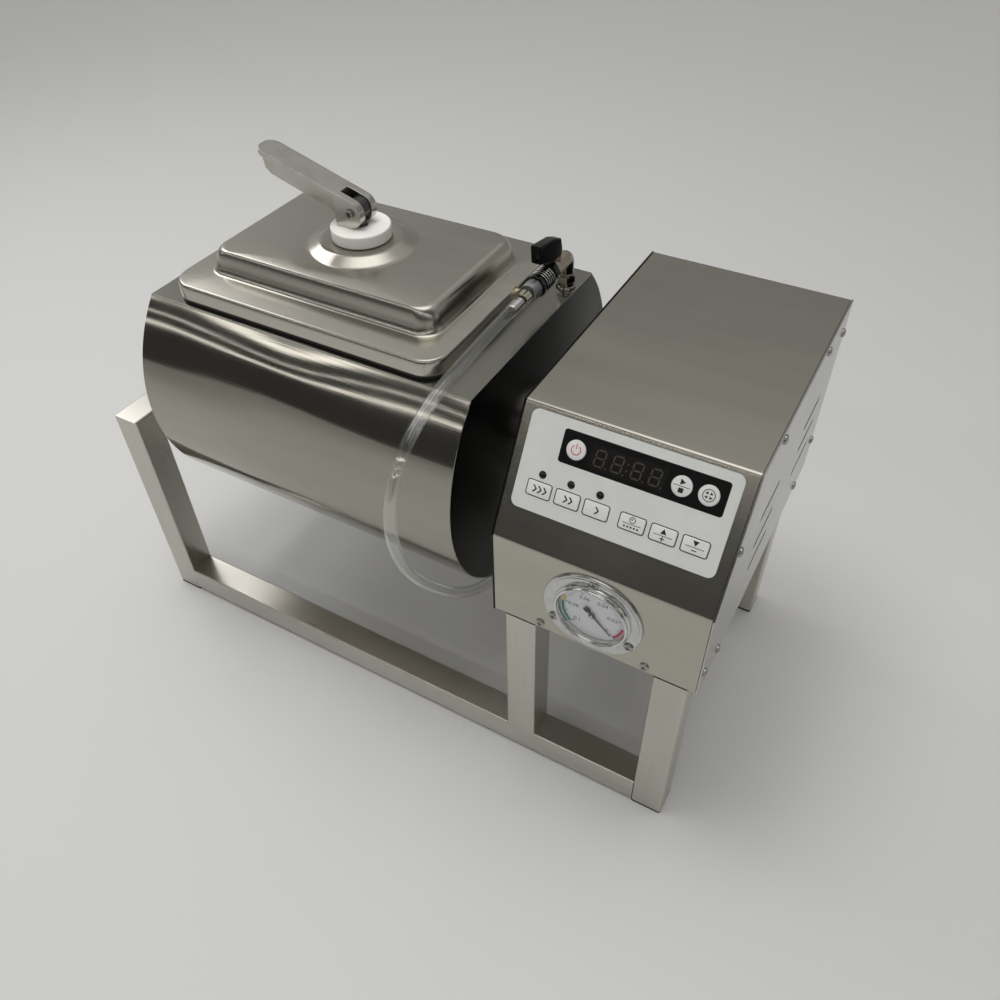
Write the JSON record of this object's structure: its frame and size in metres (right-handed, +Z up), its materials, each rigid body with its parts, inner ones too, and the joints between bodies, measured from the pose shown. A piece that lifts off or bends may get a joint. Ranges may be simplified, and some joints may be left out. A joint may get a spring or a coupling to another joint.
{
  "type": "vacuum marinator",
  "caption": "Flat-topped tumbling drum with a cam-clamped lid, vacuum fittings and clear hose, turned by a drive housing with keypad and vacuum gauge, on a square-tube frame.",
  "frame": {"origin": "on the surface under the feet, below the middle of the machine's outline without its hose", "axes": "+X along the drum's axis towards the drive housing, +Y from the control side to the back, +Z up"},
  "size_m": [0.6318, 0.3802, 0.502],
  "materials": {
    "frame_tube": "satin, brushed along the tube",
    "drum_sheet": "fine brushed along the drum's axis",
    "lid_sheet": "satin pressed sheet",
    "inner_steel": "plain mill finish",
    "cast_steel": "satin cast and ground",
    "bright_steel": "polished",
    "white_plastic": "smooth, slightly glossy",
    "black_rubber": "matt moulded rubber",
    "brass": "turned and lightly tarnished",
    "black_plastic": "moulded, semi-gloss",
    "clear_hose": "clear soft tube",
    "housing_sheet": "fine greenish-grey satin coat",
    "overlay_film": "silvery printed film",
    "key_film": "silvery embossed film",
    "display_plastic": "dark, glossy",
    "board": "solder-masked board",
    "gauge_chrome": "plated",
    "dial_print": "white printed dial",
    "needle_paint": "matt black",
    "lens_glass": "clear convex lens",
    "motor_paint": "semi-gloss enamel",
    "pump_paint": "semi-gloss enamel"
  },
  "bodies": {
    "base": {"left_front_leg": "frame_tube", "left_rear_leg": "frame_tube", "left_crossbar": "frame_tube", "front_rail": "frame_tube", "mid_front_post": "frame_tube", "right_front_leg": "frame_tube", "rear_rail": "frame_tube", "mid_rear_post": "frame_tube", "right_rear_leg": "frame_tube", "left_bearer": "frame_tube", "right_bearer": "frame_tube", "foot_plugs": "black_rubber", "pillow_block": "cast_steel", "pillow_bolts": "bright_steel", "bent_cover": "housing_sheet", "base_and_back": "housing_sheet", "left_panel": "housing_sheet", "right_panel": "housing_sheet", "panel_screws": "bright_steel", "control_overlay": "overlay_film", "display_module": "display_plastic", "control_board": "board", "gauge_case": "gauge_chrome", "gauge_dial": "dial_print", "gauge_lens": "lens_glass", "gear_motor": "motor_paint", "vacuum_pump": "pump_paint", "mains_inlet": "black_plastic", "hose_elbow": "bright_steel"},
    "drum": {"drum_shell": "drum_sheet", "left_end_plate": "drum_sheet", "right_end_plate": "drum_sheet", "drum_deck": "drum_sheet", "left_hub": "cast_steel", "right_hub": "cast_steel", "tumbling_paddles": "inner_steel", "vacuum_elbow": "bright_steel", "valve_body": "brass", "coupler_socket": "bright_steel", "hose_plug": "bright_steel", "hose_clamp": "brass", "vacuum_hose": "clear_hose"},
    "lid": {"lid_pan": "lid_sheet", "lid_gasket": "black_rubber"},
    "washer": {"clamp_washer": "white_plastic"},
    "stud": {"clamp_stud": "inner_steel", "lever_pin": "bright_steel"},
    "lever": {"cam_lever": "cast_steel"},
    "valve_lever": {"valve_handle": "black_plastic"},
    "sleeve": {"coupler_sleeve": "black_plastic"},
    "needle": {"gauge_needle": "needle_paint"},
    "power_button": {"power_button": "key_film"},
    "start_button": {"start_button": "key_film"},
    "vacuum_button": {"vacuum_button": "key_film"},
    "speed_1_key": {"speed_1_key": "key_film"},
    "speed_2_key": {"speed_2_key": "key_film"},
    "speed_3_key": {"speed_3_key": "key_film"},
    "time_key": {"time_key": "key_film"},
    "up_key": {"up_key": "key_film"},
    "down_key": {"down_key": "key_film"}
  },
  "joints": [
    {"name": "drum_spin", "type": "hinge", "parent": "base", "child": "drum", "pos_m": [0, 0, 0.285], "axis": [1, 0, 0], "continuous": true, "deforming": ["vacuum_hose"]},
    {"name": "lid_lift", "type": "slide", "parent": "drum", "child": "lid", "axis": [0, 0, 1], "range_m": [0, 0.1]},
    {"name": "clamp_turn", "type": "hinge", "parent": "lid", "child": "washer", "pos_m": [-0.089, 0, 0.44], "axis": [0, 0, 1], "range_deg": [0, 90]},
    {"name": "stud_draw", "type": "slide", "parent": "washer", "child": "stud", "axis": [0, 0, 1], "range_m": [-0.0036, 0]},
    {"name": "lever_tilt", "type": "hinge", "parent": "stud", "child": "lever", "pos_m": [-0.089, 0, 0.4621], "axis": [0, 1, 0], "range_deg": [0, 95]},
    {"name": "valve_turn", "type": "hinge", "parent": "drum", "child": "valve_lever", "pos_m": [0.0766, 0.0533, 0.43], "axis": [0, 0, 1], "range_deg": [0, 90]},
    {"name": "sleeve_pull", "type": "slide", "parent": "drum", "child": "sleeve", "axis": [0, 1, 0], "range_m": [0, 0.003], "stiffness_N_per_m": 400, "springref_m": -0.002},
    {"name": "needle_sweep", "type": "hinge", "parent": "base", "child": "needle", "pos_m": [0.2197, -0.155, 0.2555], "axis": [0, -1, 0], "range_deg": [0, 270]},
    {"name": "power_button_press", "type": "slide", "parent": "base", "child": "power_button", "axis": [0, 0.8655, -0.5009], "range_m": [0, 0.0005], "stiffness_N_per_m": 600, "springref_m": -0.001},
    {"name": "start_button_press", "type": "slide", "parent": "base", "child": "start_button", "axis": [0, 0.8655, -0.5009], "range_m": [0, 0.0005], "stiffness_N_per_m": 600, "springref_m": -0.001},
    {"name": "vacuum_button_press", "type": "slide", "parent": "base", "child": "vacuum_button", "axis": [0, 0.8655, -0.5009], "range_m": [0, 0.0005], "stiffness_N_per_m": 600, "springref_m": -0.001},
    {"name": "speed_1_key_press", "type": "slide", "parent": "base", "child": "speed_1_key", "axis": [0, 0.8655, -0.5009], "range_m": [0, 0.0005], "stiffness_N_per_m": 600, "springref_m": -0.001},
    {"name": "speed_2_key_press", "type": "slide", "parent": "base", "child": "speed_2_key", "axis": [0, 0.8655, -0.5009], "range_m": [0, 0.0005], "stiffness_N_per_m": 600, "springref_m": -0.001},
    {"name": "speed_3_key_press", "type": "slide", "parent": "base", "child": "speed_3_key", "axis": [0, 0.8655, -0.5009], "range_m": [0, 0.0005], "stiffness_N_per_m": 600, "springref_m": -0.001},
    {"name": "time_key_press", "type": "slide", "parent": "base", "child": "time_key", "axis": [0, 0.8655, -0.5009], "range_m": [0, 0.0005], "stiffness_N_per_m": 600, "springref_m": -0.001},
    {"name": "up_key_press", "type": "slide", "parent": "base", "child": "up_key", "axis": [0, 0.8655, -0.5009], "range_m": [0, 0.0005], "stiffness_N_per_m": 600, "springref_m": -0.001},
    {"name": "down_key_press", "type": "slide", "parent": "base", "child": "down_key", "axis": [0, 0.8655, -0.5009], "range_m": [0, 0.0005], "stiffness_N_per_m": 600, "springref_m": -0.001}
  ],
  "couplings": [
    {"joint": "stud_draw", "follows": "lever_tilt", "m_per_rad": -0.00215}
  ]
}
